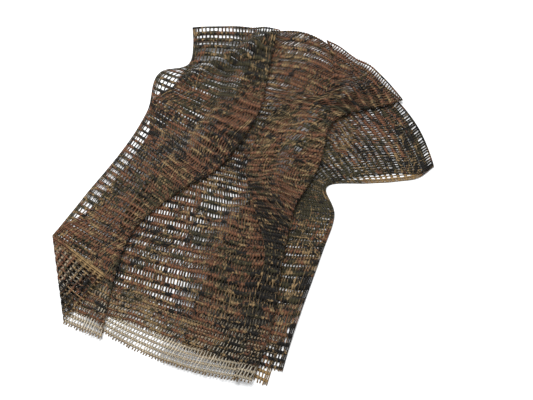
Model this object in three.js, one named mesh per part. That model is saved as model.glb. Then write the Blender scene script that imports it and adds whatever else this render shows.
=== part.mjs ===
// Sniper veil: one rectangle of openwork net, folded in half across its length and dropped
// in loose pleats on a flat surface. Millimetres, +Z up, the surface is z = 0.
//
// The net is followed from its two cut ends, side by side at the bottom, up to the fold at
// the top ("rise" 0 to 1), and across from its left selvedge to its right one. Each section
// across is a run of seven strips, turned back on each other at six pleat edges:
//   0 flap, 1 flap tuck, 2 panel, 3 tongue tuck, 4 tongue, 5 shoulder tuck, 6 fan
// The weave is far finer than 300 gaps and stays uncut: the solid is the cloth as a sheet.

import * as THREE from 'three';

// cloth
const CLOTH_THICKNESS = 1.2;
const HALVES_GAP = 0.8;
const LAYER_STEP = 6;
const BUNCH = { x: 135, y: 180, radius: 160, extraStep: 4.5 };

// how a strip climbs on to the layers under it
const EDGE_MARGIN = 10;
const SLOPE_RUN = 46;

// curve of the sections in plan
const TOP_BOW = [14, 0, 27, 0, 18, 0, 24];
const HEM_SAG = 18;
const RIGHT_SKEW = 30;
const LEFT_SKEW = 34;
const CENTRE = { x: 3.3, y: 4.8 };

// turned-over corner at the bottom left
const CREASE = { top: [-455, -150], bottom: [-400, -365], radius: 4, least: 6 };
const LEAST_STEP = 20;

// grid
const CORNER_ROWS = 4;
const CREASE_ROWS = 2;
const BODY_ROWS = 13;
const FOLD_STEPS = 3;
const TOP_STEPS = 3;
const FLAP_STEPS = [3, 3, 3, 2, 2];
const TUCK_STEPS = [2];
const PANEL_STEPS = [3, 2, 2];
const TONGUE_STEPS = [2, 2, 4];
const UNDER_STEPS = [3];
const FAN_STEPS = [4, 1];

// One row per section, from the cut ends to the fold at the top. The five pairs are the plan
// positions of the left selvedge, the edges of the flap, tongue and shoulder pleats, and the
// right selvedge; each tuck is how far its pleat runs back under its edge. The pleats let the
// panel and the fan slip along their own edges: panelAt and fanAt give the rise in this table
// at which a section crosses them.
const SECTIONS = [
  { rise: 0.00, left: [-535, -310], flap: [-315, -405], tongue: [-25, -496], shoulder: [15, -506],
    right: [72, -514], flapTuck: 11, tongueTuck: 12, shoulderTuck: 165,
    panelAt: 0.00, fanAt: 0.00 },
  { rise: 0.17, left: [-480, -180], flap: [-305, -280], tongue: [20, -370], shoulder: [58, -378],
    right: [110, -385], flapTuck: 13, tongueTuck: 12, shoulderTuck: 180,
    panelAt: 0.17, fanAt: 0.19 },
  { rise: 0.33, left: [-405, -50], flap: [-270, -140], tongue: [45, -208], shoulder: [85, -213],
    right: [176, -200], flapTuck: 40, tongueTuck: 15, shoulderTuck: 150,
    panelAt: 0.35, fanAt: 0.39 },
  { rise: 0.50, left: [-325, 85], flap: [-175, -35], tongue: [15, -60], shoulder: [115, -80],
    right: [212, -92], flapTuck: 75, tongueTuck: 45, shoulderTuck: 115,
    panelAt: 0.57, fanAt: 0.58 },
  { rise: 0.67, left: [-265, 220], flap: [-55, 60], tongue: [5, 65], shoulder: [180, 45],
    right: [200, -8], flapTuck: 90, tongueTuck: 65, shoulderTuck: 60,
    panelAt: 0.74, fanAt: 0.72 },
  { rise: 0.82, left: [-235, 355], flap: [35, 230], tongue: [95, 230], shoulder: [225, 180],
    right: [305, 0], flapTuck: 80, tongueTuck: 45, shoulderTuck: 45,
    panelAt: 0.85, fanAt: 0.85 },
  { rise: 0.90, left: [-160, 385], flap: [50, 320], tongue: [210, 275], shoulder: [290, 215],
    right: [370, 5], flapTuck: 65, tongueTuck: 35, shoulderTuck: 60,
    panelAt: 0.92, fanAt: 0.91 },
  { rise: 0.95, left: [-155, 450], flap: [65, 410], tongue: [230, 360], shoulder: [350, 230],
    right: [425, 15], flapTuck: 45, tongueTuck: 25, shoulderTuck: 80,
    panelAt: 0.96, fanAt: 0.95 },
  { rise: 1.00, left: [-160, 510], flap: [85, 490], tongue: [215, 455], shoulder: [405, 250],
    right: [467, 48], flapTuck: 25, tongueTuck: 20, shoulderTuck: 85,
    panelAt: 1.00, fanAt: 1.00 },
];

// soft ridges that lift every layer alike: a line in plan, its height and its half width
const RIDGES = [
  { name: 'brow', from: [-110, 400], to: [35, 445], height: 13, halfWidth: 52 },
  { name: 'lobe', from: [140, 360], to: [200, 355], height: 8, halfWidth: 55 },
  { name: 'tongue', from: [50, 100], to: [70, -60], height: 7, halfWidth: 58 },
  { name: 'flap', from: [-345, -40], to: [-215, 110], height: 9, halfWidth: 42 },
  { name: 'knot', from: [135, 100], to: [185, 130], height: 14, halfWidth: 60 },
  { name: 'brim', from: [315, 365], to: [280, 310], height: 8, halfWidth: 42 },
];

const mix = (a, b, f) => a + (b - a) * f;
const mix2 = (a, b, f) => [mix(a[0], b[0], f), mix(a[1], b[1], f)];
const ease = (f) => {
  const c = Math.min(Math.max(f, 0), 1);
  return c * c * (3 - 2 * c);
};

function heading(from, to) {
  const dx = to[0] - from[0];
  const dy = to[1] - from[1];
  const size = Math.max(Math.hypot(dx, dy), 1e-6);
  return { dx: dx / size, dy: dy / size, size };
}

function step(point, way, distance) {
  return [point[0] + way.dx * distance, point[1] + way.dy * distance];
}

// slope of a column at a section, from its two neighbours
function slopeAt(read, i) {
  const last = SECTIONS.length - 1;
  const rate = (j) => (read(SECTIONS[j + 1]) - read(SECTIONS[j])) / (SECTIONS[j + 1].rise - SECTIONS[j].rise);
  if (i === 0) return rate(0);
  if (i === last) return rate(last - 1);
  const before = SECTIONS[i].rise - SECTIONS[i - 1].rise;
  const after = SECTIONS[i + 1].rise - SECTIONS[i].rise;
  return (rate(i - 1) * after + rate(i) * before) / (before + after);
}

// a column of the table at any rise, as a smooth cubic through its rows
function along(read, rise) {
  let i = 0;
  while (i < SECTIONS.length - 2 && rise > SECTIONS[i + 1].rise) i += 1;
  const span = SECTIONS[i + 1].rise - SECTIONS[i].rise;
  const f = (rise - SECTIONS[i].rise) / span;
  const g = 1 - f;
  return (1 + 2 * f) * g * g * read(SECTIONS[i])
    + f * g * g * span * slopeAt(read, i)
    + f * f * (3 - 2 * f) * read(SECTIONS[i + 1])
    - f * f * g * span * slopeAt(read, i + 1);
}

function place(name, rise) {
  return [along((row) => row[name][0], rise), along((row) => row[name][1], rise)];
}

// the eight ends of the seven strips in one row of the table, in plan
function rowEnds(rise) {
  const left = place('left', rise);
  const flap = place('flap', rise);
  const tongue = place('tongue', rise);
  const shoulder = place('shoulder', rise);
  const right = place('right', rise);
  const acrossFlap = heading(left, flap);
  const acrossTongue = heading(tongue, shoulder);
  return [
    left,
    flap,
    step(flap, acrossFlap, -along((row) => row.flapTuck, rise)),
    step(tongue, acrossTongue, along((row) => row.tongueTuck, rise)),
    tongue,
    shoulder,
    step(shoulder, acrossTongue, -along((row) => row.shoulderTuck, rise)),
    right,
  ];
}

// the row of the table that each strip of a section follows
function stripRows(rise) {
  const panel = along((row) => row.panelAt, rise);
  const fan = along((row) => row.fanAt, rise);
  return [rise, rise, panel, panel, rise, rise, fan];
}

// the ends of one section: the panel and the fan keep to their own rows
function stripEnds(rise) {
  const [, , panel, , , , fan] = stripRows(rise);
  const own = rowEnds(rise);
  const panelEnds = rowEnds(panel);
  const fanEnds = rowEnds(fan);
  return [own[0], own[1], panelEnds[2], panelEnds[3], own[4], own[5], fanEnds[6], fanEnds[7]];
}

// pleat edges traced up the net, to look up where one lies at a given y
const TRACE_STEPS = 120;
const trace = Array.from({ length: TRACE_STEPS + 1 }, (_, i) => rowEnds(i / TRACE_STEPS));

function edgeX(end, y) {
  let i = 0;
  while (i < TRACE_STEPS - 1 && trace[i + 1][end][1] < y) i += 1;
  const low = trace[i][end];
  const high = trace[i + 1][end];
  const f = (y - low[1]) / Math.max(high[1] - low[1], 1e-6);
  return mix(low[0], high[0], Math.min(Math.max(f, 0), 1));
}

function ridgeHeight(x, y) {
  return RIDGES.reduce((sum, ridge) => {
    const way = heading(ridge.from, ridge.to);
    const run = (x - ridge.from[0]) * way.dx + (y - ridge.from[1]) * way.dy;
    const foot = step(ridge.from, way, Math.min(Math.max(run, 0), way.size));
    const off = Math.hypot(x - foot[0], y - foot[1]) / ridge.halfWidth;
    return sum + ridge.height * Math.exp(-off * off);
  }, 0);
}

// height of a strip at a place in plan: it lies on the layers under it there
function stripHeight(strip, x, y) {
  const fromLeft = (end) => ease((x - edgeX(end, y) + EDGE_MARGIN + SLOPE_RUN) / SLOPE_RUN);
  const fromRight = (end) => ease((edgeX(end, y) + EDGE_MARGIN + SLOPE_RUN - x) / SLOPE_RUN);
  const overFan = 2 * fromLeft(6);
  const overTuck = 2 * fromLeft(2);
  const overPanel = 2 * fromRight(3);
  const layers = [
    overTuck,
    1,
    overFan,
    overFan + 1,
    overFan + overPanel,
    1,
    0,
  ][strip];
  const far = Math.hypot(x - BUNCH.x, y - BUNCH.y) / BUNCH.radius;
  const layerStep = LAYER_STEP + BUNCH.extraStep * Math.exp(-far * far);
  return layers * layerStep + ridgeHeight(x, y);
}

const creaseWay = heading(CREASE.top, CREASE.bottom);
const creaseOut = { dx: creaseWay.dy, dy: -creaseWay.dx };
const beyondCrease = (x, y) => (x - CREASE.top[0]) * creaseOut.dx + (y - CREASE.top[1]) * creaseOut.dy;

// the corner beyond the crease rolls over it and lies back on the net
function turnCorner(x, y) {
  const out = beyondCrease(x, y);
  if (out <= 0) return { x, y, lift: 0 };
  const angle = Math.min(out / CREASE.radius, Math.PI);
  const back = Math.max(out - Math.PI * CREASE.radius, 0);
  const shift = CREASE.radius * Math.sin(angle) - back - out;
  return {
    x: x + creaseOut.dx * shift,
    y: y + creaseOut.dy * shift,
    lift: CREASE.radius * (1 - Math.cos(angle)),
  };
}

// the rise at which the crease runs out at the left selvedge
function findCreaseRise() {
  let low = 0;
  let high = 0.5;
  for (let i = 0; i < 30; i += 1) {
    const middle = (low + high) / 2;
    const [x, y] = place('left', middle);
    if (beyondCrease(x, y) > 0) low = middle;
    else high = middle;
  }
  return high;
}

const creaseRise = findCreaseRise();

// rises of the sections, with a few close together where the crease runs out
function sectionRises() {
  const rolled = creaseRise - 0.02;
  const rises = [0];
  for (let i = 1; i <= CORNER_ROWS; i += 1) rises.push((rolled * i) / CORNER_ROWS);
  for (let i = 1; i <= CREASE_ROWS; i += 1) rises.push(mix(rolled, creaseRise, i / CREASE_ROWS));
  for (let i = 1; i <= BODY_ROWS; i += 1) rises.push(mix(creaseRise, 1, i / BODY_ROWS));
  return rises;
}

// width of single net beside the left selvedge, where the upper half falls short
function bareWidth(rise) {
  return LEFT_SKEW * ease((rise - creaseRise) / 0.12) * ease((0.97 - rise) / 0.2);
}

// distances along a strip: each stretch between two stops is cut into equal steps
function spread(stops, counts) {
  const distances = [stops[0]];
  counts.forEach((count, k) => {
    for (let i = 1; i <= count; i += 1) distances.push(mix(stops[k], stops[k + 1], i / count));
  });
  return distances;
}

// keeps stops in order and a least step apart, inside the strip
function inOrder(stops, size) {
  const least = Math.min(LEAST_STEP, size / (stops.length + 1));
  for (let i = 1; i < stops.length; i += 1) stops[i] = Math.max(stops[i], stops[i - 1] + least);
  stops[stops.length - 1] = size;
  for (let i = stops.length - 2; i > 0; i -= 1) stops[i] = Math.min(stops[i], stops[i + 1] - least);
  return stops;
}

// where the points of a strip stand, in millimetres from its start: closer together at the
// crease of the corner and on the slopes up to the layers under it
function stripDistances(strip, from, to, ends, rise, upper) {
  const way = heading(from, to);
  const alongStrip = (p) => (p[0] - from[0]) * way.dx + (p[1] - from[1]) * way.dy;
  if (strip === 0) {
    const bare = bareWidth(rise);
    const start = upper ? bare : 0;
    const outFrom = beyondCrease(from[0], from[1]);
    const onCrease = (way.size * outFrom) / (outFrom - beyondCrease(to[0], to[1]));
    const settled = ease((rise - creaseRise) / 0.1);
    const crossing = Math.max(onCrease, mix(start + CREASE.least, bare + LEAST_STEP, settled));
    const top = alongStrip(ends[2]) - EDGE_MARGIN;
    const roll = Math.max(crossing - Math.PI * CREASE.radius, (start + crossing) / 2);
    const rest = inOrder([crossing, top - SLOPE_RUN, top, way.size], way.size);
    return spread([start, roll, ...rest], FLAP_STEPS);
  }
  if (strip === 2) {
    const top = alongStrip(ends[6]) - EDGE_MARGIN;
    return spread(inOrder([0, top - SLOPE_RUN, top, way.size], way.size), PANEL_STEPS);
  }
  if (strip === 4) {
    const top = alongStrip(ends[3]) + EDGE_MARGIN;
    return spread(inOrder([0, top, top + SLOPE_RUN, way.size], way.size), TONGUE_STEPS);
  }
  if (strip === 6) {
    const kept = upper ? way.size : way.size - Math.min(RIGHT_SKEW * (1 - rise), way.size / 4);
    return spread([0, way.size * 0.7, kept], FAN_STEPS);
  }
  return spread([0, way.size], strip === 5 ? UNDER_STEPS : TUCK_STEPS);
}

function bowOf(strip, rise) {
  const sag = strip === 2 ? HEM_SAG * (1 - ease(rise / 0.45)) : 0;
  return TOP_BOW[strip] * ease((rise - 0.7) / 0.3) - sag;
}

// one section as a list of points; the upper half starts and ends a little further right
function section(rise, upper) {
  const ends = stripEnds(rise);
  const rows = stripRows(rise);
  const points = [];
  let from = ends[0];
  for (let strip = 0; strip < 7; strip += 1) {
    const way = heading(from, ends[strip + 1]);
    let to = ends[strip + 1];
    if (strip < 6) {
      const drop = stripHeight(strip, to[0], to[1]) - stripHeight(strip + 1, to[0], to[1]);
      to = step(to, way, -Math.abs(drop) / 2);
    }
    const size = heading(from, to).size;
    const bow = bowOf(strip, rows[strip]);
    stripDistances(strip, from, to, rowEnds(rows[strip]), rise, upper).forEach((distance, i) => {
      if (strip > 0 && i === 0) return;
      const f = distance / size;
      const side = 4 * f * (1 - f) * bow;
      const flat = step(mix2(from, to, f), { dx: -way.dy, dy: way.dx }, side);
      const turned = strip === 0 ? turnCorner(flat[0], flat[1]) : { x: flat[0], y: flat[1], lift: 0 };
      points.push([turned.x, turned.y, stripHeight(strip, turned.x, turned.y) + turned.lift]);
    });
    if (strip < 6) {
      const above = points[points.length - 1][2];
      const below = stripHeight(strip + 1, to[0], to[1]);
      for (let i = 1; i <= FOLD_STEPS; i += 1) {
        const angle = (Math.PI * i) / FOLD_STEPS;
        const at = step(to, way, (Math.abs(above - below) / 2) * Math.sin(angle));
        points.push([at[0], at[1], (above + below) / 2 + ((above - below) / 2) * Math.cos(angle)]);
      }
      from = to;
    }
  }
  return points;
}

// unit normals of a grid of points, from the neighbours on both sides
function gridFrames(grid) {
  const at = (j, i) => new THREE.Vector3(...grid[j][i]);
  const rows = grid.length;
  const columns = grid[0].length;
  return grid.map((line, j) => line.map((_, i) => {
    const across = at(j, Math.min(i + 1, columns - 1)).sub(at(j, Math.max(i - 1, 0)));
    const up = at(Math.min(j + 1, rows - 1), i).sub(at(Math.max(j - 1, 0), i));
    const normal = new THREE.Vector3().crossVectors(across, up).normalize();
    const outward = up.addScaledVector(normal, -up.dot(normal)).normalize();
    return { point: at(j, i), normal, outward };
  }));
}

// the cloth from the lower cut end, round the fold at the top and back to the upper cut end
function clothFrames() {
  const rises = sectionRises();
  const last = rises.length - 1;
  const lower = gridFrames(rises.map((rise) => section(rise, false)));
  const upper = gridFrames(rises.map((rise) => section(rise, true)));
  const turn = (frames, angle) => frames.map(({ point, normal, outward }) => ({
    point,
    away: outward.clone().multiplyScalar(Math.sin(angle)).addScaledVector(normal, -Math.cos(angle)),
  }));
  const rows = lower.map((frames) => turn(frames, 0));
  for (let k = 1; k < TOP_STEPS; k += 1) rows.push(turn(lower[last], (Math.PI * k) / TOP_STEPS));
  for (let j = last; j >= 1; j -= 1) rows.push(turn(upper[j], Math.PI));
  return rows;
}

function clothGeometry() {
  const rows = clothFrames();
  const height = rows.length;
  const width = rows[0].length;
  const outerRadius = HALVES_GAP / 2 + CLOTH_THICKNESS;
  const positions = [];
  [outerRadius, HALVES_GAP / 2].forEach((radius) => rows.forEach((row) => row.forEach((frame) => {
    const p = frame.point.clone().addScaledVector(frame.away, radius);
    positions.push(p.x - CENTRE.x, p.y - CENTRE.y, p.z + outerRadius);
  })));
  const outer = (j, i) => j * width + i;
  const inner = (j, i) => height * width + j * width + i;
  const index = [];
  const quad = (a, b, c, d) => index.push(a, b, c, a, c, d);
  const turnRound = ([a, ...rest]) => [...rest, a];
  for (let j = 0; j < height - 1; j += 1) {
    for (let i = 0; i < width - 1; i += 1) {
      const out = [outer(j, i), outer(j + 1, i), outer(j + 1, i + 1), outer(j, i + 1)];
      const back = [inner(j + 1, i), inner(j, i), inner(j, i + 1), inner(j + 1, i + 1)];
      quad(...(j < height / 2 ? out : turnRound(out)));
      quad(...(j < height / 2 ? turnRound(back) : back));
    }
    quad(outer(j + 1, 0), outer(j, 0), inner(j, 0), inner(j + 1, 0));
    quad(outer(j, width - 1), outer(j + 1, width - 1), inner(j + 1, width - 1), inner(j, width - 1));
  }
  for (let i = 0; i < width - 1; i += 1) {
    quad(outer(0, i), outer(0, i + 1), inner(0, i + 1), inner(0, i));
    quad(outer(height - 1, i + 1), outer(height - 1, i), inner(height - 1, i), inner(height - 1, i + 1));
  }
  const geometry = new THREE.BufferGeometry();
  geometry.setAttribute('position', new THREE.Float32BufferAttribute(positions, 3));
  geometry.setIndex(index);
  geometry.computeVertexNormals();
  return geometry;
}

const netMaterial = new THREE.MeshStandardMaterial({ color: 0x6b5d47, roughness: 0.9, metalness: 0 });

const veil = new THREE.Mesh(clothGeometry(), netMaterial);
veil.name = 'veil';

const group = new THREE.Group();
group.name = 'sniper_veil';
group.add(veil);

export default group;
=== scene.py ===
"""Openwork net veil: one printed rectangle of ladder net, folded in half and dropped in pleats."""

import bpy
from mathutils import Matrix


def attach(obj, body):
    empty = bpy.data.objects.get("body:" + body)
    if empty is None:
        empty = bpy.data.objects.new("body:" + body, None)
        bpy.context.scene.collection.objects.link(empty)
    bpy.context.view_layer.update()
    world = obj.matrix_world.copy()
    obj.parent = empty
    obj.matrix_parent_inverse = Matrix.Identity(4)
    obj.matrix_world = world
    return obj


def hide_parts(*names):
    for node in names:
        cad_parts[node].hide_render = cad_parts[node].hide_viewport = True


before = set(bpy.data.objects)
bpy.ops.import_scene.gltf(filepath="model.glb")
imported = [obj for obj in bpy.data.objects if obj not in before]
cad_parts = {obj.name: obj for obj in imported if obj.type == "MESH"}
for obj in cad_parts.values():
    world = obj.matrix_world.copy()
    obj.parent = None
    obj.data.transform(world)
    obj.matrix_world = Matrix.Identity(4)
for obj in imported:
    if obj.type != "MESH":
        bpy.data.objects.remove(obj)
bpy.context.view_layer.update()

import math

import bpy
import numpy as np
from bpy.props import FloatProperty, FloatVectorProperty, IntProperty, PointerProperty

bl_info = {
    "name": "Net veil",
    "version": (1, 0, 0),
    "blender": (4, 5, 0),
    "location": "3D View > Sidebar > Veil",
    "description": "Builds a printed ladder net, folded in half and dropped in pleats",
    "category": "Add Mesh",
}

NODE = "veil"
BODY = "root"
BAR_PIECES = ("veil_bars_left", "veil_bars_middle", "veil_bars_right")
PRINT_COLOURS = ("Tan", "Rust", "Olive", "Dark")
MM = 0.001

# places of a selvedge's cords from the edge, in their own widths
SELVEDGE_CORDS = np.array([0.0, 1.45, 2.8])

# One row per section of the drape, from the cut ends to the fold at the top, in millimetres in plan:
# rise, left x y, flap x y, tongue x y, shoulder x y, right x y, flap tuck, tongue tuck, shoulder tuck,
# and the rise in this table at which a section crosses the panel and the fan
SECTIONS = np.array([
    (0.00, -535, -310, -315, -405, -25, -496, 15, -506, 72, -514, 11, 12, 165, 0.00, 0.00),
    (0.17, -480, -180, -305, -280, 20, -370, 58, -378, 110, -385, 13, 12, 180, 0.17, 0.19),
    (0.33, -405, -50, -270, -140, 45, -208, 85, -213, 176, -200, 40, 15, 150, 0.35, 0.39),
    (0.50, -325, 85, -175, -35, 15, -60, 115, -80, 212, -92, 75, 45, 115, 0.57, 0.58),
    (0.67, -265, 220, -55, 60, 5, 65, 180, 45, 200, -8, 90, 65, 60, 0.74, 0.72),
    (0.82, -235, 355, 35, 230, 95, 230, 225, 180, 305, 0, 80, 45, 45, 0.85, 0.85),
    (0.90, -160, 385, 50, 320, 210, 275, 290, 215, 370, 5, 65, 35, 60, 0.92, 0.91),
    (0.95, -155, 450, 65, 410, 230, 360, 350, 230, 425, 15, 45, 25, 80, 0.96, 0.95),
    (1.00, -160, 510, 85, 490, 215, 455, 405, 250, 467, 48, 25, 20, 85, 1.00, 1.00),
])

# soft ridges that lift every layer alike: x y at both ends of a line in plan, height, half width
RIDGES = np.array([
    (-110, 400, 35, 445, 15, 44),
    (140, 360, 200, 355, 8, 55),
    (50, 100, 70, -60, 10, 45),
    (-345, -40, -215, 110, 9, 42),
    (135, 100, 185, 130, 14, 60),
    (315, 365, 280, 310, 8, 42),
    (-170, 325, -50, 390, 15, 17),
    (-50, 390, 75, 462, 15, 17),
])

# small folds where the two halves have slipped and close each other's gaps: a line in plan, half width
CLOSED = np.array([
    (-175, 320, -50, 386, 32),
    (-50, 386, 78, 458, 32),
    (-240, 215, -130, 190, 42),
    (250, 425, 385, 275, 25),
    (400, 220, 445, 70, 60),
    (85, 400, 200, 340, 75),
    (-175, 285, -55, 235, 50),
    (172, -30, 150, -140, 70),
    (150, 5, 190, -30, 20),
    (175, -105, 85, -420, 100),
    (0, -130, -15, -420, 50),
])

# middle of the heap's box in plan, which is the frame's origin
CENTRE = np.array([3.3, 4.8])

# small wrinkles everywhere, and deeper ones round the place where the pleats are gathered: height,
# shortest and longest wave, and seed of the waves
WRINKLE = 1.2
WRINKLE_WAVES = (80.0, 170.0)
WRINKLE_SEED = 21
GATHER_AT = np.array([120.0, 140.0])
GATHER_RADIUS = 130.0
GATHER_WRINKLE = 4.5
GATHER_WAVES = (45.0, 90.0)
GATHER_SEED = 5

# height from one layer of the doubled net to the next: close at the hem, which ends over a run in y, and
# wider apart where they are bunched; how far a layer is lifted beyond the edge that lies under it, and over
# what run; half the way between the two halves, and the lift off the floor
LAYER_STEP = 6.0
HEM_STEP = 3.6
HEM_TOP = -180.0
HEM_RUN = 220.0
BUNCH_AT = np.array([135.0, 180.0])
BUNCH_RADIUS = 160.0
BUNCH_STEP = 4.5
EDGE_MARGIN = 10.0
SLOPE_RUN = 46.0
HALF_OFFSET = 1.0
BASE_LIFT = 1.6

# how far each strip bows out at the fold, above a rise, and how far the panel sags at the hem, below another
TOP_BOW = (14, 0, 27, 0, 18, 0, 24)
BOW_RISE = 0.7
HEM_SAG = 18.0
SAG_RISE = 0.45

# single net where one half ends before the other: strips at the right near the cut ends, under the fan and
# at the left, and the loop above that, each with its width and the rise and run in which it comes or goes
RIGHT_SKEW = 24.0
RIGHT_TOP = 0.4
FAN_SKEW = 25.0
FAN_COMES = (0.6, 0.2)
FAN_GOES = (1.0, 0.12)
LEFT_SKEW = 38.0
LEFT_COMES = 0.12
LEFT_GOES = (0.70, 0.1)
LOOP_SKEW = 62.0
LOOP_RISE = 0.80
LOOP_SPAN = 0.06

# the corner turned over: two points of its crease, the roll's radius, the least width before the crease, the
# rise over which that widens above the corner, and what is added there to the single net's width
CREASE_TOP = np.array([-455.0, -150.0])
CREASE_BOTTOM = np.array([-400.0, -365.0])
CREASE_RADIUS = 4.0
CREASE_LEAST = 6.0
CREASE_SETTLES = 0.1
LEAST_STEP = 20.0

# the upper half is the shorter: its mean end as a rise; both cut ends as (strips from the left, rise), where
# hidden layers end higher than what covers them; and the rises at which this has died out
UPPER_END = 0.0626
LOWER_ENDS = np.array([(0, 0.0), (1, 0.0), (2, 0.03), (3, 0.0), (5, 0.0), (6, 0.065), (7, 0.0)])
UPPER_ENDS = np.array([(0, 0.045), (1, 0.045), (2, 0.066), (2.3, 0.095), (2.6, 0.083), (3, 0.052), (5, 0.05),
                       (6, 0.065), (7, 0.046)])
LOWER_EVEN = 0.18
UPPER_EVEN = 0.36
UPPER_UNEVEN = 0.06

# how far the upper half's bands have slipped against the lower's in each strip, how much that varies, and the
# slip that closes the gaps, in band pitches
HALF_SLIP = (0.36, 0.5, 0.0, 0.3, 0.5, 0.4, 0.0)
SLIP_SWAY = (0.22, 0.22, 0.18, 0.22, 0.22, 0.22, 0.05)
SLIP_CLOSED = 0.5

# columns of points in the pieces of the flap, in each of the seven strips and round a pleat edge, columns
# that a value is evened out over, and rows in each half, round the half fold and along a traced edge
FLAP_COLUMNS = (10, 6, 26)
STRIP_COLUMNS = (42, 9, 36, 8, 30, 14, 30)
FOLD_COLUMNS = 6
EVENED_COLUMNS = 13
HALF_ROWS = 122
TURN_ROWS = 3
TRACE_ROWS = 121

# more than any net's width, so that the search for a place in one row never ends in the next
ROW_APART = 10.0

# unevenness of the yarns, in metres or as a share: spread of the random part, slow wandering, the shortest
# and longest waves of each, and the number of waves
WAVES = 8
BAR_JITTER = 0.0005
BAR_POINT_JITTER = 0.00025
BAR_WANDER = 0.0012
BAR_WANDER_WAVES = (0.03, 0.2)
BAR_WIDTH_SWAY = 0.2
BAR_WIDTH_WAVES = (0.01, 0.04)
BAND_JITTER = 0.0004
BAND_WAVES = (0.06, 0.3)
BAND_WIDTH_SWAY = 0.18
BAND_WIDTH_WAVES = (0.012, 0.06)
SLIP_WAVES = (0.15, 0.4)
SWIRL_WAVES = (0.05, 0.12)
FRINGE_SHARES = (0.3, 1.5)

# near the left selvedge the net is pulled, with its bars wider apart by this share; the steps across the net
# in which pitches are counted
PULLED_WIDTH = 0.07
PULLED_SHARE = 0.4
COUNTED_STEPS = 2000

# where the bands' slip and closed lines come in past the fold, and the slip goes out at the end, in metres
SLIP_START = 0.1
SLIP_RUN = 0.2
CLOSED_RUN = 0.02
SLIP_END = 0.15

# print: how much of it shows on the inner face of bands and bars at the cut ends, and on all farther inside,
# # where nearly all of it shows, partly the print soaking through and partly painted shade that darkens the
# # layers lying under others; and the values of face between which it fades
BAND_THROUGH = 0.3
BAR_THROUGH = 0.12
INSIDE_PRINT_AND_SHADE = 0.97
FACE_FADE = (0.3, 0.55)

# unprinted margins, each as the distances at which its mask is 0 and 1: how far the inside is from the cut
# ends, the selvedges' margin and what the left one loses inside, the stretch of the right one under the fan,
# the cut edge, and the lower right corner
INSIDE = (0.05, 0.22)
MARGIN = (0.017, 0.014)
MARGIN_LOSS = 0.020
FAN_START = (0.72, 0.80)
FAN_STOP = (0.95, 0.93)
CUT_EDGE = (0.007, 0.005)
CORNER_WIDTH = (0.09, 0.06)
CORNER_LENGTH = (0.09, 0.05)

# a strand's row in the second UV map: its start and share of the row, and the width of the caps
ROW_START = 0.05
ROW_SHARE = 0.9
CAP_WIDTH = 0.001

# stage: half the floor's width, the camera's sensor in millimetres, and the light's size, place and turn
FLOOR_REACH = 6.0
SENSOR_WIDTH = 36.0
KEY_SIZE = 1.4
KEY_AT = (-0.5, 0.6, 2.5)
KEY_TURN = (math.radians(-13), math.radians(-11), 0.0)


def ease(f):
    """Smooth step from 0 to 1: c squared times (3 - 2c), with c the value held between 0 and 1."""
    c = np.clip(f, 0.0, 1.0)
    return c * c * (3.0 - 2.0 * c)


def unit(way):
    """Vectors divided by their lengths."""
    return way / np.maximum(np.linalg.norm(way, axis=-1, keepdims=True), 1e-9)


def table_at(rise):
    """The table's columns at any rise: a cubic between two rows, its slopes taken from their neighbours."""
    rows, values = SECTIONS[:, 0], SECTIONS[:, 1:]
    gap = np.diff(rows)[:, None]
    rate = np.diff(values, axis=0) / gap
    inner = (rate[:-1] * gap[1:] + rate[1:] * gap[:-1]) / (gap[1:] + gap[:-1])
    slope = np.vstack([rate[:1], inner, rate[-1:]])
    i = np.clip(np.searchsorted(rows, rise) - 1, 0, len(rows) - 2)
    f = (rise - rows[i])[:, None] / gap[i]
    g = 1.0 - f
    ends = (1 + 2 * f) * g * g * values[i] + f * f * (3 - 2 * f) * values[i + 1]
    return ends + f * g * gap[i] * (g * slope[i] - f * slope[i + 1])


def row_ends(rise):
    """Plan of the eight ends of the seven strips: the table's edges, and each tuck run back from its edge."""
    row = table_at(rise)
    left, flap, tongue, shoulder, right = (row[:, k:k + 2] for k in range(0, 10, 2))
    over_flap, over_tongue = unit(flap - left), unit(shoulder - tongue)
    flap_back = flap - over_flap * row[:, 10:11]
    tongue_back = tongue + over_tongue * row[:, 11:12]
    shoulder_back = shoulder - over_tongue * row[:, 12:13]
    return np.stack([left, flap, flap_back, tongue_back, tongue, shoulder, shoulder_back, right], 1)


def strip_ends(rise):
    """Ends of one section, with those of the panel and the fan taken from their own rows of the table."""
    ends, row = row_ends(rise), table_at(rise)
    ends[:, 2:4] = row_ends(row[:, 13])[:, 2:4]
    ends[:, 6:8] = row_ends(row[:, 14])[:, 6:8]
    return ends


TRACE = row_ends(np.linspace(0.0, 1.0, TRACE_ROWS))
CREASE_WAY = unit(CREASE_BOTTOM - CREASE_TOP)
CREASE_OUT = np.array([CREASE_WAY[1], -CREASE_WAY[0]])


def beyond_crease(plan):
    """Distance of a plan point outside the corner's crease line."""
    return (plan - CREASE_TOP) @ CREASE_OUT


LOW_RISES = np.linspace(0.0, 0.5, 2001)
CREASE_RISE = LOW_RISES[np.argmax(beyond_crease(strip_ends(LOW_RISES)[:, 0]) <= 0)]


def edge_x(end, y):
    """Where a traced pleat edge lies at a given y."""
    return np.interp(y, np.maximum.accumulate(TRACE[:, end, 1]), TRACE[:, end, 0])


def sway(u, t, seed, shortest, longest):
    """Slow unevenness between about -1 and 1: a sum of sine waves of seeded way, length and phase."""
    rng = np.random.default_rng(seed)
    headings = rng.uniform(0, math.pi, WAVES)
    lengths = rng.uniform(shortest, longest, WAVES)
    phases = rng.uniform(0, 2 * math.pi, WAVES)
    total = 0.0
    for heading, length, phase in zip(headings, lengths, phases):
        run = u * math.cos(heading) + t * math.sin(heading)
        total = total + np.sin(2 * math.pi * run / length + phase)
    return total / (WAVES / 2)


def gathered(x, y):
    """1 at the gathered middle of the heap, falling to 0 as exp(-(distance / radius) squared)."""
    far = np.hypot(x - GATHER_AT[0], y - GATHER_AT[1]) / GATHER_RADIUS
    return np.exp(-far * far)


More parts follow.
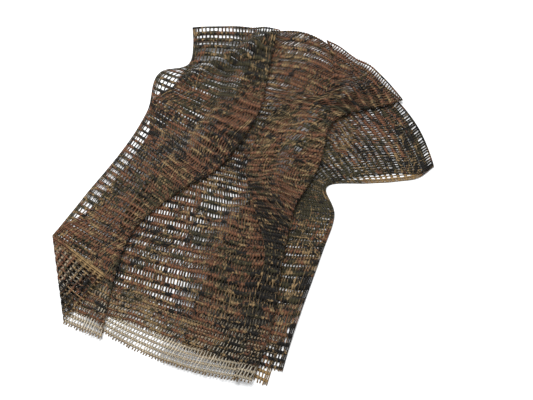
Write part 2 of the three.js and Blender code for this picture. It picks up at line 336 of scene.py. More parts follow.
def beside_lines(lines, x, y):
    """1 on each line in plan, falling to 0 beside it as exp(-(distance / half width) squared)."""
    start, way = lines[:, 0:2], lines[:, 2:4] - lines[:, 0:2]
    size = np.linalg.norm(way, axis=1)
    way = way / size[:, None]
    dx, dy = x[..., None] - start[:, 0], y[..., None] - start[:, 1]
    run = np.clip(dx * way[:, 0] + dy * way[:, 1], 0, size)
    off = np.hypot(dx - run * way[:, 0], dy - run * way[:, 1]) / lines[:, -1]
    return np.exp(-off * off)


def ridge_height(x, y):
    """Sum of the ridges, each its height beside its line."""
    return beside_lines(RIDGES, x, y) @ RIDGES[:, 4]


def strip_height(strip, x, y):
    """Height of a strip: ridges, wrinkles, and the layers under it times a step.

    The step is least at the hem and most at the bunch; a wrinkle is its height times 1 plus a slow sway.
    """
    def from_left(end):
        return ease((x - edge_x(end, y) + EDGE_MARGIN + SLOPE_RUN) / SLOPE_RUN)

    over_panel = 2 * ease((edge_x(3, y) + EDGE_MARGIN + SLOPE_RUN - x) / SLOPE_RUN)
    over_fan = 2 * from_left(6)
    layers = (2 * from_left(2), 1, over_fan, over_fan + 1, over_fan + over_panel, 1, 0)[strip]
    far = np.hypot(x - BUNCH_AT[0], y - BUNCH_AT[1]) / BUNCH_RADIUS
    wrinkle = WRINKLE * (1 + np.clip(sway(x, y, WRINKLE_SEED, *WRINKLE_WAVES), -1, 1))
    gather = 1 + np.clip(sway(x, y, GATHER_SEED, *GATHER_WAVES), -1, 1)
    wrinkle = wrinkle + GATHER_WRINKLE * gathered(x, y) * gather
    step = LAYER_STEP + (HEM_STEP - LAYER_STEP) * ease((HEM_TOP - y) / HEM_RUN)
    step = step + BUNCH_STEP * np.exp(-far * far)
    return layers * step + ridge_height(x, y) + wrinkle


def bare_width(rise):
    """Width of single net beside the left selvedge: a strip along the flap, and a wider loop above it."""
    top, run = LEFT_GOES
    strip = LEFT_SKEW * ease((rise - CREASE_RISE) / LEFT_COMES) * ease((top - rise) / run)
    far = (rise - LOOP_RISE) / LOOP_SPAN
    return strip + LOOP_SKEW * np.exp(-far * far)


def short_width(rise, upper):
    """How far one half ends before the right edge: the upper half at the fan, the lower one at the hem."""
    if not upper:
        return RIGHT_SKEW * ease((RIGHT_TOP - rise) / RIGHT_TOP)
    low, low_run = FAN_COMES
    high, high_run = FAN_GOES
    return FAN_SKEW * ease((rise - low) / low_run) * ease((high - rise) / high_run)


def spread(stops, counts):
    """Distances along a strip: each stretch between two stops is cut into equal steps."""
    runs = [stops[0][:, None]]
    for low, high, count in zip(stops[:-1], stops[1:], counts):
        runs.append(low[:, None] + (high - low)[:, None] * np.arange(1, count + 1) / count)
    return np.concatenate(runs, 1)


def strip_distances(strip, start, stop, rise, upper):
    """Distances of a strip's points from its start, closer together where the corner rolls over."""
    size = np.linalg.norm(stop - start, axis=1)
    first, last = 0.0 * size, size
    if strip == 6:
        last = size - np.minimum(short_width(rise, upper), size / 4)
    if strip == 0:
        bare = bare_width(rise)
        first = bare if upper else first
        out = beyond_crease(start)
        on_crease = size * out / (out - beyond_crease(stop))
        settled = ease((rise - CREASE_RISE) / CREASE_SETTLES)
        least = (first + CREASE_LEAST) * (1 - settled) + (bare + LEAST_STEP) * settled
        crossing = np.maximum(on_crease, least)
        roll = np.maximum(crossing - math.pi * CREASE_RADIUS, (first + crossing) / 2)
        return spread([first, roll, crossing, last], FLAP_COLUMNS), size
    return spread([first, last], (STRIP_COLUMNS[strip],)), size


def turn_corner(plan):
    """Plan and lift of what lies beyond the crease, rolled round it: out along the arc, then back."""
    out = np.maximum(beyond_crease(plan), 0.0)
    angle = np.minimum(out / CREASE_RADIUS, math.pi)
    back = np.maximum(out - math.pi * CREASE_RADIUS, 0.0)
    shift = CREASE_RADIUS * np.sin(angle) - back - out
    return plan + CREASE_OUT * shift[..., None], CREASE_RADIUS * (1 - np.cos(angle))


def sections(rise, upper):
    """Middle surface of the doubled net: seven strips in plan at their heights, joined by half-turn folds."""
    ends = strip_ends(rise)
    own = {2: table_at(rise)[:, 13], 6: table_at(rise)[:, 14]}
    runs = []
    start = ends[:, 0]
    for strip in range(7):
        stop = ends[:, strip + 1]
        way = unit(stop - start)
        if strip < 6:
            drop = strip_height(strip, *stop.T) - strip_height(strip + 1, *stop.T)
            stop = stop - way * np.abs(drop)[:, None] / 2
        distance, size = strip_distances(strip, start, stop, rise, upper)
        f = distance / size[:, None]
        row = own.get(strip, rise)
        sag = HEM_SAG * (1 - ease(row / SAG_RISE)) if strip == 2 else 0.0
        bow = TOP_BOW[strip] * ease((row - BOW_RISE) / (1 - BOW_RISE)) - sag
        side = np.stack([-way[:, 1], way[:, 0]], 1)
        plan = start[:, None] + (stop - start)[:, None] * f[..., None]
        plan = plan + side[:, None] * (4 * f * (1 - f) * bow[:, None])[..., None]
        lift = 0.0
        if strip == 0:
            plan, lift = turn_corner(plan)
        height = strip_height(strip, plan[..., 0], plan[..., 1]) + lift
        points = np.concatenate([plan, height[..., None]], 2)
        runs.append(points if strip == 0 else points[:, 1:])
        if strip < 6:
            above, below = height[:, -1], strip_height(strip + 1, *stop.T)
            middle, radius = (above + below) / 2, (above - below) / 2
            angle = math.pi * np.arange(1, FOLD_COLUMNS + 1) / FOLD_COLUMNS
            turn = stop[:, None] + way[:, None] * (np.abs(radius)[:, None] * np.sin(angle))[..., None]
            level = middle[:, None] + radius[:, None] * np.cos(angle)
            runs.append(np.concatenate([turn, level[..., None]], 2))
            start = stop
    return np.concatenate(runs, 1)


def grid_normals(points):
    """Unit normals of a grid, across times up, and the unit upward way square to them."""
    across, up = np.gradient(points, axis=1), np.gradient(points, axis=0)
    normal = unit(np.cross(across, up))
    upward = unit(up - normal * (up * normal).sum(-1, keepdims=True))
    return normal, upward


STRIP_WIDTHS = np.array(STRIP_COLUMNS) + FOLD_COLUMNS
STRIP_WIDTHS[0] = STRIP_COLUMNS[0] + 1


def per_column(values):
    """One value for each column of the grid from one for each strip, as the mean of the columns beside it."""
    padded = np.pad(np.repeat(values, STRIP_WIDTHS), EVENED_COLUMNS // 2, "edge")
    return np.convolve(padded, np.ones(EVENED_COLUMNS) / EVENED_COLUMNS, "valid")


def end_rises(ends):
    """Rise of a cut end at each column of the grid, straight between the places given along the strips."""
    stops = np.concatenate([[0], np.cumsum(STRIP_WIDTHS)])
    strips = np.interp(np.arange(stops[-1]), stops, np.arange(8))
    return np.interp(strips, ends[:, 0], ends[:, 1])


def lower_shift(rise):
    """How far above its even rise each column of the lower half lies, dying out above the hem."""
    return end_rises(LOWER_ENDS) * ease((LOWER_EVEN - rise) / LOWER_EVEN)


def upper_shift(rise):
    """How far above its even rise each column of the upper half lies, dying out above its end."""
    return (end_rises(UPPER_ENDS) - UPPER_END) * ease((UPPER_EVEN - rise) / (UPPER_EVEN - UPPER_UNEVEN))


def between_rows(values, where):
    """Grid values at fractional rows, one row for each column, straight between the two rows beside it."""
    low = np.clip(where.astype(int), 0, len(values) - 2)
    column = np.arange(values.shape[1])
    f = (where - low).reshape(where.shape + (1,) * (values.ndim - 2))
    return values[low, column] * (1 - f) + values[low + 1, column] * f


class Net:
    """The net as a grid of points: rows at distances t from the lower cut end, columns at u from the left."""

    def __init__(self, width, length):
        half = length / (2 - UPPER_END)
        rise = np.linspace(0.0, 1.0, HALF_ROWS)
        upper_rise = np.linspace(UPPER_END, 1.0, HALF_ROWS)
        reach = rise[:, None] + lower_shift(rise[:, None])
        lower = between_rows(sections(rise, False), reach * (HALF_ROWS - 1))
        reach = upper_rise[:, None] + upper_shift(upper_rise[:, None])
        upper = between_rows(sections(rise, True), reach * (HALF_ROWS - 1))
        low_normal, low_up = grid_normals(lower)
        up_normal, _ = grid_normals(upper)
        angles = math.pi * np.arange(1, TURN_ROWS + 1)[:, None, None] / (TURN_ROWS + 1)
        turn = low_up[-1] * np.sin(angles) - low_normal[-1] * np.cos(angles)
        self.away = np.concatenate([-low_normal, turn, up_normal[::-1]])
        middle = np.concatenate([lower, np.repeat(lower[-1:], TURN_ROWS, 0), upper[::-1]])
        points = middle + self.away * HALF_OFFSET
        points = points + np.array([-CENTRE[0], -CENTRE[1], BASE_LIFT])
        self.points = points * MM
        arc = HALF_OFFSET * MM * math.pi
        turn_t = half + arc * angles[:, 0, 0] / math.pi
        upper_t = half + arc + half * (1 - upper_rise[::-1])
        self.t = np.concatenate([half * rise, turn_t, upper_t])
        step = np.linalg.norm(np.diff(self.points, axis=1), axis=2)
        run = np.concatenate([np.zeros((len(step), 1)), np.cumsum(step, 1)], 1)
        self.u = width * run / run[:, -1:]
        self.width, self.length, self.half = width, float(self.t[-1]), half
        self.fold = half + arc / 2

    def at_rows(self, t):
        """Points, outward ways and u at distances t on the grid's own columns, straight between two rows."""
        where = np.interp(t, self.t, np.arange(len(self.t)))
        return (between_rows(self.points, where), unit(between_rows(self.away, where)),
                between_rows(self.u, where))

    def at_columns(self, u):
        """Points and outward ways at distances u on the grid's own rows, straight between two columns."""
        rows, columns = self.u.shape
        base = ROW_APART * np.arange(rows)[:, None]
        keys = (self.u + base).ravel()
        asked = (np.clip(u, 0.0, self.width) + base).ravel()
        i = np.clip(np.searchsorted(keys, asked) - 1, 0, len(keys) - 2)
        row = np.repeat(np.arange(rows), u.shape[1])
        i = np.clip(i, row * columns, row * columns + columns - 2)
        f = ((asked - keys[i]) / np.maximum(keys[i + 1] - keys[i], 1e-9))[:, None]

        def between(values):
            flat = values.reshape(-1, 3)
            return (flat[i] * (1 - f) + flat[i + 1] * f).reshape(u.shape + (3,))

        return between(self.points), unit(between(self.away))


def bar_places(width, pitch):
    """Distances u of the bars: even, but wider apart near the left selvedge, by counting pitches across."""
    u = np.linspace(0.0, width, COUNTED_STEPS)
    pulled = 1 - ease((u - PULLED_WIDTH) / PULLED_WIDTH)
    pitches = np.diff(u) / (pitch * (1 + PULLED_SHARE * pulled[1:]))
    count = np.concatenate([[0.0], np.cumsum(pitches)])
    return np.interp(np.arange(int(count[-1])) + 0.5, count, u)


def strand_rows(strands, count, sides):
    """UV map of capped strands, walls then caps: each strand is a row, its sides one above the other."""
    across = np.linspace(0.0, 1.0, count)
    strand = np.arange(strands)[:, None, None]
    side = np.arange(sides)[None, None, :]
    x0 = np.broadcast_to(across[None, :-1, None], (strands, count - 1, sides))
    x1 = np.broadcast_to(across[None, 1:, None], (strands, count - 1, sides))
    y0 = np.broadcast_to((strand + ROW_START + ROW_SHARE * side / sides) / strands, x0.shape)
    y1 = np.broadcast_to((strand + ROW_START + ROW_SHARE * (side + 1) / sides) / strands, x0.shape)
    wall_uv = np.stack([np.stack([x0, y0], -1), np.stack([x0, y1], -1),
                        np.stack([x1, y1], -1), np.stack([x1, y0], -1)], 3).reshape(-1, 4, 2)
    corner = np.array([(0.0, 0.0), (0.0, ROW_SHARE), (CAP_WIDTH, ROW_SHARE), (CAP_WIDTH, 0.0)])
    cap_row = np.stack([np.zeros(strands), (np.arange(strands) + ROW_START) / strands], -1)
    cap_uv = cap_row[:, None] + corner * np.array([1.0, 1.0 / strands])
    cap_uv = np.concatenate([cap_uv, cap_uv + np.array([1.0 - CAP_WIDTH, 0.0])])
    return np.concatenate([wall_uv, cap_uv])


def strands_mesh(name, rings, cloth):
    """Closed strands as one mesh: rings of points along each strand, joined by quads and capped at both ends.

    rings is strands x points x sides x 3; cloth is u, t and face (1 outside, 0 inside) of the same points.
    """
    strands, count, sides = rings.shape[:3]
    index = np.arange(strands * count * sides).reshape(strands, count, sides)
    turned = np.roll(index, -1, axis=2)
    walls = np.stack([index[:, :-1], turned[:, :-1], turned[:, 1:], index[:, 1:]], -1).reshape(-1, 4)
    caps = np.concatenate([index[:, 0, ::-1], index[:, -1]])
    a, b, c = rings[:, :-1], np.roll(rings, -1, 2)[:, :-1], np.roll(rings, -1, 2)[:, 1:]
    volume = (a * np.cross(b, c)).sum() / 6 + (a * np.cross(c, rings[:, 1:])).sum() / 6
    faces = np.concatenate([walls, caps])
    uv = strand_rows(strands, count, sides)
    if volume < 0:
        faces, uv = faces[:, ::-1], uv[:, ::-1]
    mesh = bpy.data.meshes.new(name)
    mesh.vertices.add(index.size)
    mesh.vertices.foreach_set("co", rings.reshape(-1).astype(np.float32))
    mesh.loops.add(faces.size)
    mesh.loops.foreach_set("vertex_index", faces.reshape(-1).astype(np.int32))
    mesh.polygons.add(len(faces))
    mesh.polygons.foreach_set("loop_start", (4 * np.arange(len(faces))).astype(np.int32))
    mesh.polygons.foreach_set("use_smooth", np.ones(len(faces), bool))
    attribute = mesh.attributes.new("cloth", "FLOAT_VECTOR", "POINT")
    attribute.data.foreach_set("vector", cloth.reshape(-1).astype(np.float32))
    layer = mesh.uv_layers.new(name="OFBake")
    layer.uv.foreach_set("vector", uv.reshape(-1).astype(np.float32))
    mesh.update()
    mesh.validate()
    return mesh


def add_piece(name, mesh, material):
    """Puts a mesh in the scene with its material, riding on the one body and standing for the CAD sheet."""
    piece = bpy.data.objects.new(name, mesh)
    bpy.context.scene.collection.objects.link(piece)
    mesh.materials.append(material)
    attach(piece, BODY)
    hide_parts(NODE)
    return piece


def lens_rings(low, middle, high, away, thickness):
    """Lens section of a flat yarn: its two edges, and its middle moved out and in by half the thickness."""
    out = away * (thickness / 2)[..., None]
    return np.stack([low, middle + out, high, middle - out], -2)


def cloth_coordinates(u, t, half_u, half_t):
    """u, t and face of a lens section: edges to either side, the outer ridge at face 1, the inner at 0."""
    side = np.array([-1.0, 0.0, 1.0, 0.0])
    face = np.array([0.5, 1.0, 0.5, 0.0])
    place = np.broadcast_arrays(u[..., None] + np.multiply.outer(half_u, side),
                                t[..., None] + np.multiply.outer(half_t, side), face)
    return np.stack(place, -1)


# settings that every colour shares
COLOUR = {"size": 3, "subtype": "COLOR", "min": 0.0, "max": 1.0}


class VeilNetSettings(bpy.types.PropertyGroup):
    """Sizes of the net."""

    width: FloatProperty(
        name="Width", description="Flat width from selvedge to selvedge",
        default=0.935, min=0.5, max=2.0, unit="LENGTH")
    length: FloatProperty(
        name="Length", description="Flat length between the two cut ends",
        default=1.9, min=0.5, max=4.0, unit="LENGTH")
    band_pitch: FloatProperty(
        name="Band pitch", description="From one solid band to the next",
        default=0.0203, min=0.005, max=0.05, unit="LENGTH")
    band_width: FloatProperty(
        name="Band width", description="Width of a solid band across the net",
        default=0.0088, min=0.001, max=0.02, unit="LENGTH")
    band_thickness: FloatProperty(
        name="Band thickness", description="Thickness of a solid band at its middle",
        default=0.0008, min=0.0003, max=0.003, unit="LENGTH")
    bar_pitch: FloatProperty(
        name="Bar pitch", description="From one lengthwise bar to the next",
        default=0.0062, min=0.002, max=0.02, unit="LENGTH")
    bar_width: FloatProperty(
        name="Bar width", description="Width of a lengthwise bar",
        default=0.0026, min=0.0005, max=0.01, unit="LENGTH")
    bar_thickness: FloatProperty(
        name="Bar thickness", description="Thickness of a lengthwise bar",
        default=0.0011, min=0.0003, max=0.003, unit="LENGTH")
    selvedge_width: FloatProperty(
        name="Selvedge cord", description="Width of each of the cords along a selvedge",
        default=0.0024, min=0.001, max=0.01, unit="LENGTH")
    fringe: FloatProperty(
        name="Fringe", description="Usual length of the yarn ends at a cut end",
        default=0.0025, min=0.0, max=0.03, unit="LENGTH")
    unevenness: FloatProperty(
        name="Unevenness", description="How far the bands wander from even spacing",
        default=0.0025, min=0.0, max=0.01, unit="LENGTH")
    swirl: FloatProperty(
        name="Swirl", description="How far bands and bars wander where the cloth is gathered",
        default=0.012, min=0.0, max=0.03, unit="LENGTH")
    seed: IntProperty(name="Seed", description="Seed of the unevenness", default=7, min=0)


class VeilPrintSettings(bpy.types.PropertyGroup):
    """Colours of the yarn and of the print on its outer face."""

    tan: FloatVectorProperty(
        name="Tan", description="Tan patches and lines of the print", default=(0.21, 0.14, 0.068), **COLOUR)
    rust: FloatVectorProperty(
        name="Rust", description="Brown ground of the print", default=(0.135, 0.060, 0.032), **COLOUR)
    olive: FloatVectorProperty(
        name="Olive", description="Grey-green patches of the print", default=(0.037, 0.032, 0.016), **COLOUR)
    dark: FloatVectorProperty(
        name="Dark", description="Near-black spots of the print", default=(0.009, 0.008, 0.007), **COLOUR)
    yarn: FloatVectorProperty(
        name="Yarn", description="Unprinted bars, on the inner face", default=(0.60, 0.54, 0.43), **COLOUR)
    ochre: FloatVectorProperty(
        name="Ochre", description="Unprinted bands, on the inner face", default=(0.36, 0.30, 0.21), **COLOUR)
    margin: FloatVectorProperty(
        name="Margin", description="Yarn at bare margins and cords", default=(0.24, 0.155, 0.07), **COLOUR)


class VeilStageSettings(bpy.types.PropertyGroup):
    """Camera, floor and light."""

    elevation: FloatProperty(
        name="Camera elevation", description="How steeply the camera looks down",
        default=math.radians(60.0), subtype="ANGLE")
    distance: FloatProperty(
        name="Camera distance", description="From the camera to the point it looks at",
        default=1.86, unit="LENGTH")
    look_at: FloatVectorProperty(
        name="Look at", description="Point on the floor at the middle of the picture",
        default=(0.0447, -0.0518, 0.0), size=3, subtype="TRANSLATION")
    lens: FloatProperty(
        name="Lens", description="Focal length on a sensor 36 mm wide", default=51.33, unit="CAMERA")
    floor_colour: FloatVectorProperty(
        name="Floor", description="Colour of the floor", default=(0.86, 0.87, 0.88), **COLOUR)
    key_power: FloatProperty(
        name="Key light", description="Power of the large soft light overhead", default=70.0, unit="POWER")
    sky: FloatProperty(
        name="Room light", description="Strength of the even light from all round", default=0.72)


def new_group(name, inputs, outputs):
    """Empty shader node group with the given (name, kind) sockets."""
    group = bpy.data.node_groups.new(name, "ShaderNodeTree")
    for label, kind in inputs:
        group.interface.new_socket(name=label, in_out="INPUT", socket_type=kind)
    for label, kind in outputs:
        group.interface.new_socket(name=label, in_out="OUTPUT", socket_type=kind)
    return group, group.nodes.new("NodeGroupInput"), group.nodes.new("NodeGroupOutput")


def give(tree, place, value):
    """Links an input to a socket, or sets it to a plain value."""
    if isinstance(value, bpy.types.NodeSocket):
        tree.links.new(value, place)
    else:
        place.default_value = value


def node(tree, kind, inputs=None, **settings):
    """New node with its settings, and with sockets or plain values given to inputs by name or number."""
    made = tree.nodes.new(kind)
    for key, value in settings.items():
        setattr(made, key, value)
    for key, value in (inputs or {}).items():
        give(tree, made.inputs[key], value)
    return made


def maths(tree, operation, *values):
    """Outcome of one operation on sockets or plain numbers."""
    return node(tree, "ShaderNodeMath", dict(enumerate(values)), operation=operation).outputs[0]


def mix_colour(tree, factor, a, b, blend="MIX"):
    """Blends two colours by a factor, each a socket or a plain value."""
    return node(tree, "ShaderNodeMix", {0: factor, 6: a, 7: b}, data_type="RGBA", blend_type=blend).outputs[2]


def step_mask(tree, value, low, high):
    """0 at the first limit and beyond, 1 at the second and beyond, smooth between."""
    made = node(tree, "ShaderNodeMapRange", {0: value, 1: low, 2: high}, interpolation_type="SMOOTHSTEP")
    return made.outputs[0]


def cloth_noise(tree, vector, scale, shift, detail):
    """Noise of one size on the shifted cloth."""
    moved = node(tree, "ShaderNodeVectorMath", {0: vector, 1: shift}, operation="ADD")
    look = {"Scale": scale, "Detail": detail, "Roughness": 0.62, "Distortion": 0.4}
    made = node(tree, "ShaderNodeTexNoise", {"Vector": moved.outputs[0], **look}, noise_dimensions="2D")
    return made.outputs[0]


def blotches(tree, vector, scale, shift, low, high, drift):
    """Mask of ragged patches: noise plus drift times one five times larger, cut off between two values."""
    small = cloth_noise(tree, vector, scale, shift, 5.0)
    large = cloth_noise(tree, vector, scale / 5.0, shift[::-1], 1.0)
    both = maths(tree, "MULTIPLY_ADD", large, drift, small)
    return step_mask(tree, both, low + drift / 2, high + drift / 2)


def veins(tree, vector, scale, shift, thin):
    """Mask of branching lines: where noise passes its middle value, left out where a larger noise is low."""
    level = cloth_noise(tree, vector, scale, shift, 4.0)
    off = maths(tree, "ABSOLUTE", maths(tree, "SUBTRACT", level, 0.5))
    line = step_mask(tree, off, thin, thin / 2)
    kept = step_mask(tree, cloth_noise(tree, vector, scale / 2.0, shift[::-1], 2.0), 0.50, 0.58)
    return maths(tree, "MULTIPLY", line, kept)


def streaks(tree, vector):
    """Mask of pulled yarns: long thin runs of noise along the bars."""
    drawn = node(tree, "ShaderNodeVectorMath", {0: vector, 1: (230.0, 9.0, 0.0)}, operation="MULTIPLY")
    return step_mask(tree, cloth_noise(tree, drawn.outputs[0], 1.0, (5.0, 2.0, 0.0), 1.0), 0.69, 0.74)


def dapple_group():
    """Shader group: a dapple of grey-green, near-black and tan patches and lines on brown.

    It is read at the distance from the fold, so it is alike on both halves. Patches are given by their
    noise's scale and shift, the values it is cut off between, and its drift.
    """
    found = bpy.data.node_groups.get("Dapple print")
    if found:
        return found
    colours = [(label, "NodeSocketColor") for label in PRINT_COLOURS]
    group, given, put = new_group(
        "Dapple print", [("Cloth", "NodeSocketVector"), ("Fold", "NodeSocketFloat")] + colours,
        [("Colour", "NodeSocketColor")])
    parts = node(group, "ShaderNodeSeparateXYZ", {0: given.outputs["Cloth"]})
    away = maths(group, "ABSOLUTE", maths(group, "SUBTRACT", parts.outputs[1], given.outputs["Fold"]))
    cloth = node(group, "ShaderNodeCombineXYZ", {0: parts.outputs[0], 1: away}).outputs[0]
    layers = ((blotches(group, cloth, 24.0, (9.1, 7.3, 0.0), 0.60, 0.65, 0.5), "Tan"),
              (blotches(group, cloth, 16.0, (9.1, 7.3, 0.5), 0.55, 0.61, 0.8), "Olive"),
              (blotches(group, cloth, 22.0, (2.6, 4.8, 0.5), 0.555, 0.615, 0.7), "Dark"),
              (blotches(group, cloth, 60.0, (1.6, 3.7, 0.2), 0.58, 0.62, 0.3), "Olive"),
              (blotches(group, cloth, 70.0, (8.1, 0.9, 0.7), 0.57, 0.61, 0.3), "Dark"),
              (blotches(group, cloth, 65.0, (2.8, 7.7, 0.3), 0.60, 0.64, 0.3), "Tan"),
              (veins(group, cloth, 9.0, (4.4, 9.3, 0.6), 0.014), "Tan"),
              (streaks(group, cloth), "Tan"))
    colour = given.outputs["Rust"]
    for mask, label in layers:
        colour = mix_colour(group, mask, colour, given.outputs[label])
    group.links.new(colour, put.inputs["Colour"])
    return group


def margin_group():
    """Shader group: mask of the unprinted margins, and how far inside from the cut ends a place is."""
    found = bpy.data.node_groups.get("Bare margin")
    if found:
        return found
    group, given, put = new_group(
        "Bare margin",
        [("Cloth", "NodeSocketVector"), ("Width", "NodeSocketFloat"), ("Length", "NodeSocketFloat")],
        [("Mask", "NodeSocketFloat"), ("Inside", "NodeSocketFloat")])
    parts = node(group, "ShaderNodeSeparateXYZ", {0: given.outputs["Cloth"]})
    u, t = parts.outputs[0], parts.outputs[1]
    from_right = maths(group, "SUBTRACT", given.outputs["Width"], u)
    from_ends = maths(group, "MINIMUM", t, maths(group, "SUBTRACT", given.outputs["Length"], t))
    inside = step_mask(group, from_ends, *INSIDE)
    left = step_mask(group, maths(group, "MULTIPLY_ADD", inside, MARGIN_LOSS, u), *MARGIN)
    right = step_mask(group, from_right, *MARGIN)
    for limits in (FAN_START, FAN_STOP):
        right = maths(group, "MULTIPLY", right, step_mask(group, t, *limits))
    corner = maths(group, "MULTIPLY", step_mask(group, from_right, *CORNER_WIDTH),
                   step_mask(group, t, *CORNER_LENGTH))
    bare = left
    for mask in (right, step_mask(group, t, *CUT_EDGE), corner):
        bare = maths(group, "MAXIMUM", bare, mask)
    group.links.new(bare, put.inputs["Mask"])
    group.links.new(inside, put.inputs["Inside"])
    return group


def fibre_and_painted_shade_group():
    """Shader group: height and shade of the twisted yarn, noise plus a cosine rib at the bars' pitch.

    The shade is the yarn's random tone from noise plus painted shade from the rib: darker on the bands
    between the bars and lighter on the bars.
    """
    found = bpy.data.node_groups.get("Yarn fibre and painted shade")
    if found:
        return found
    group, given, put = new_group(
        "Yarn fibre and painted shade", [("Cloth", "NodeSocketVector"), ("Pitch", "NodeSocketFloat")],
        [("Height", "NodeSocketFloat"), ("Shade", "NodeSocketFloat")])
    cloth = given.outputs["Cloth"]
    parts = node(group, "ShaderNodeSeparateXYZ", {0: cloth})
    turns = maths(group, "DIVIDE", parts.outputs[0], given.outputs["Pitch"])
    rib_and_painted_shade = maths(group, "COSINE", maths(group, "MULTIPLY_ADD", turns, 2 * math.pi, math.pi))
    fine = node(group, "ShaderNodeTexNoise", {"Vector": cloth, "Scale": 900.0, "Detail": 3.0})
    look = {"Scale": 120.0, "Detail": 5.0, "Roughness": 0.7}
    coarse = node(group, "ShaderNodeTexNoise", {"Vector": cloth, **look})
    grain = node(group, "ShaderNodeMapRange", {0: coarse.outputs[0], 1: 0.36, 2: 0.64, 3: 0.2, 4: 1.55})
    group.links.new(maths(group, "MULTIPLY_ADD", rib_and_painted_shade, 0.5, fine.outputs[0]), put.inputs["Height"])
    # painted shade: the rib darkens the bands between the bars and lightens the bars; the noise grain is
    # random tone
    group.links.new(maths(group, "MULTIPLY_ADD", rib_and_painted_shade, 0.35, grain.outputs[0]), put.inputs["Shade"])
    return group


def yarn_material(name, plain, show_through, scene):
    """Printed yarn: the dapple outside, plain yarn with some of it on the inner face, and bare margins.

    Away from the cut ends the inner face takes nearly all the print, partly print soaking through and partly
    painted shade on the layers under others; painted shade between the bars is multiplied in as well.
    """
    size, colours = scene.veil_net, scene.veil_print
    pitch = size.width / int(size.width / size.bar_pitch)
    material = bpy.data.materials.new(name)
    material.use_nodes = True
    tree = material.node_tree
    surface = tree.nodes["Principled BSDF"]
    cloth = node(tree, "ShaderNodeAttribute", attribute_name="cloth").outputs["Vector"]
    face = node(tree, "ShaderNodeSeparateXYZ", {0: cloth}).outputs[2]
    inks = {label: (*getattr(colours, label.lower()), 1.0) for label in PRINT_COLOURS}
    dapple = node(tree, "ShaderNodeGroup", {"Cloth": cloth, "Fold": size.length / 2, **inks},
                  node_tree=dapple_group())
    bare = node(tree, "ShaderNodeGroup", {"Cloth": cloth, "Width": size.width, "Length": size.length},
                node_tree=margin_group())
    fibre = node(tree, "ShaderNodeGroup", {"Cloth": cloth, "Pitch": pitch}, node_tree=fibre_and_painted_shade_group())
    inside = bare.outputs["Inside"]
    # painted shade: farther from the cut ends the inner face takes nearly the whole print, which darkens the
    # lower layers
    inside_print_and_shade = node(tree, "ShaderNodeMapRange", {0: inside, 3: show_through, 4: INSIDE_PRINT_AND_SHADE})
    print_and_shade_share = maths(tree, "MAXIMUM", step_mask(tree, face, *FACE_FADE), inside_print_and_shade.outputs[0])
    colour = mix_colour(tree, print_and_shade_share, (*plain, 1.0), dapple.outputs["Colour"])
    colour = mix_colour(tree, bare.outputs["Mask"], colour, (*colours.margin, 1.0))
    # multiplies in the yarn's random tone and the painted shade between the bars, with painted light on the
    # bars
    colour = mix_colour(tree, 1.0, colour, fibre.outputs["Shade"], "MULTIPLY")
    height = fibre.outputs["Height"]
    bump = node(tree, "ShaderNodeBump", {"Height": height, "Strength": 0.6, "Distance": 0.0006})
    finish = {"Base Color": colour, "Normal": bump.outputs[0], "Roughness": 0.88, "Specular IOR Level": 0.1,
              "Sheen Weight": 0.04, "Sheen Roughness": 0.6}
    for label, value in finish.items():
        give(tree, surface.inputs[label], value)
    return material


class VEIL_OT_selvedges(bpy.types.Operator):
    """Three close cords along each selvedge of the net"""

    bl_idname = "veil.selvedges"
    bl_label = "Selvedges"

    def execute(self, context):
        size = context.scene.veil_net
        net = Net(size.width, size.length)
        half = size.selvedge_width / 2
        inward = half + SELVEDGE_CORDS * size.selvedge_width
        u = np.broadcast_to(np.concatenate([inward, size.width - inward]), (len(net.t), 2 * len(inward)))
        low, middle, high = (net.at_columns(u + k * half)[0] for k in (-1, 0, 1))
        away = net.at_columns(u)[1]
        thick = np.full(u.shape, size.bar_thickness)
        t = np.broadcast_to(net.t[:, None], u.shape)
        rings = lens_rings(low, middle, high, away, thick).transpose(1, 0, 2, 3)
        cloth = cloth_coordinates(u, t, half, 0.0).transpose(1, 0, 2, 3)
        plain = context.scene.veil_print.margin
        material = yarn_material("selvedge yarn", plain, BAND_THROUGH, context.scene)
        add_piece("veil_selvedges", strands_mesh("veil_selvedges", rings, cloth), material)
        return {"FINISHED"}


class VEIL_OT_bars(bpy.types.Operator):
    """Thin lengthwise bars of the ladder, in three pieces side by side, with frayed ends"""

    bl_idname = "veil.bars"
    bl_label = "Bars"

    def execute(self, context):
        size = context.scene.veil_net
        net = Net(size.width, size.length)
        rng = np.random.default_rng(size.seed)
        u = bar_places(size.width, size.bar_pitch)
        count = len(u)
        u = u + rng.normal(0, BAR_JITTER, count)
        t = np.broadcast_to(net.t[:, None], (len(net.t), count))
        plan = net.at_columns(u + 0.0 * t)[0] / MM
        swirl = size.swirl * gathered(plan[..., 0] + CENTRE[0], plan[..., 1] + CENTRE[1])
        u = u + swirl * sway(u, t, size.seed + 6, *SWIRL_WAVES)
        u = u + BAR_WANDER * sway(u, t, size.seed + 1, *BAR_WANDER_WAVES)
        u = u + rng.normal(0, BAR_POINT_JITTER, t.shape)
        half = size.bar_width / 2 * (1 + BAR_WIDTH_SWAY * sway(u, t, size.seed + 2, *BAR_WIDTH_WAVES))
        low, middle, high = (net.at_columns(u + k * half)[0] for k in (-1, 0, 1))
        away = net.at_columns(u)[1]
        rings = lens_rings(low, middle, high, away, np.full(u.shape, size.bar_thickness))
        for end, inner in ((0, 1), (-1, -2)):
            out = unit(middle[end] - middle[inner])
            tail = size.fringe * rng.uniform(*FRINGE_SHARES, count)
            rings[end] = rings[end] + (out * tail[:, None])[:, None]
        rings = rings.transpose(1, 0, 2, 3)
        cloth = cloth_coordinates(u, t, half, 0.0).transpose(1, 0, 2, 3)
        plain = context.scene.veil_print.yarn
        material = yarn_material("bar yarn", plain, BAR_THROUGH, context.scene)
        share = -(-count // len(BAR_PIECES))
        for k, name in enumerate(BAR_PIECES):
            part = slice(k * share, (k + 1) * share)
            add_piece(name, strands_mesh(name, rings[part], cloth[part]), material)
        return {"FINISHED"}


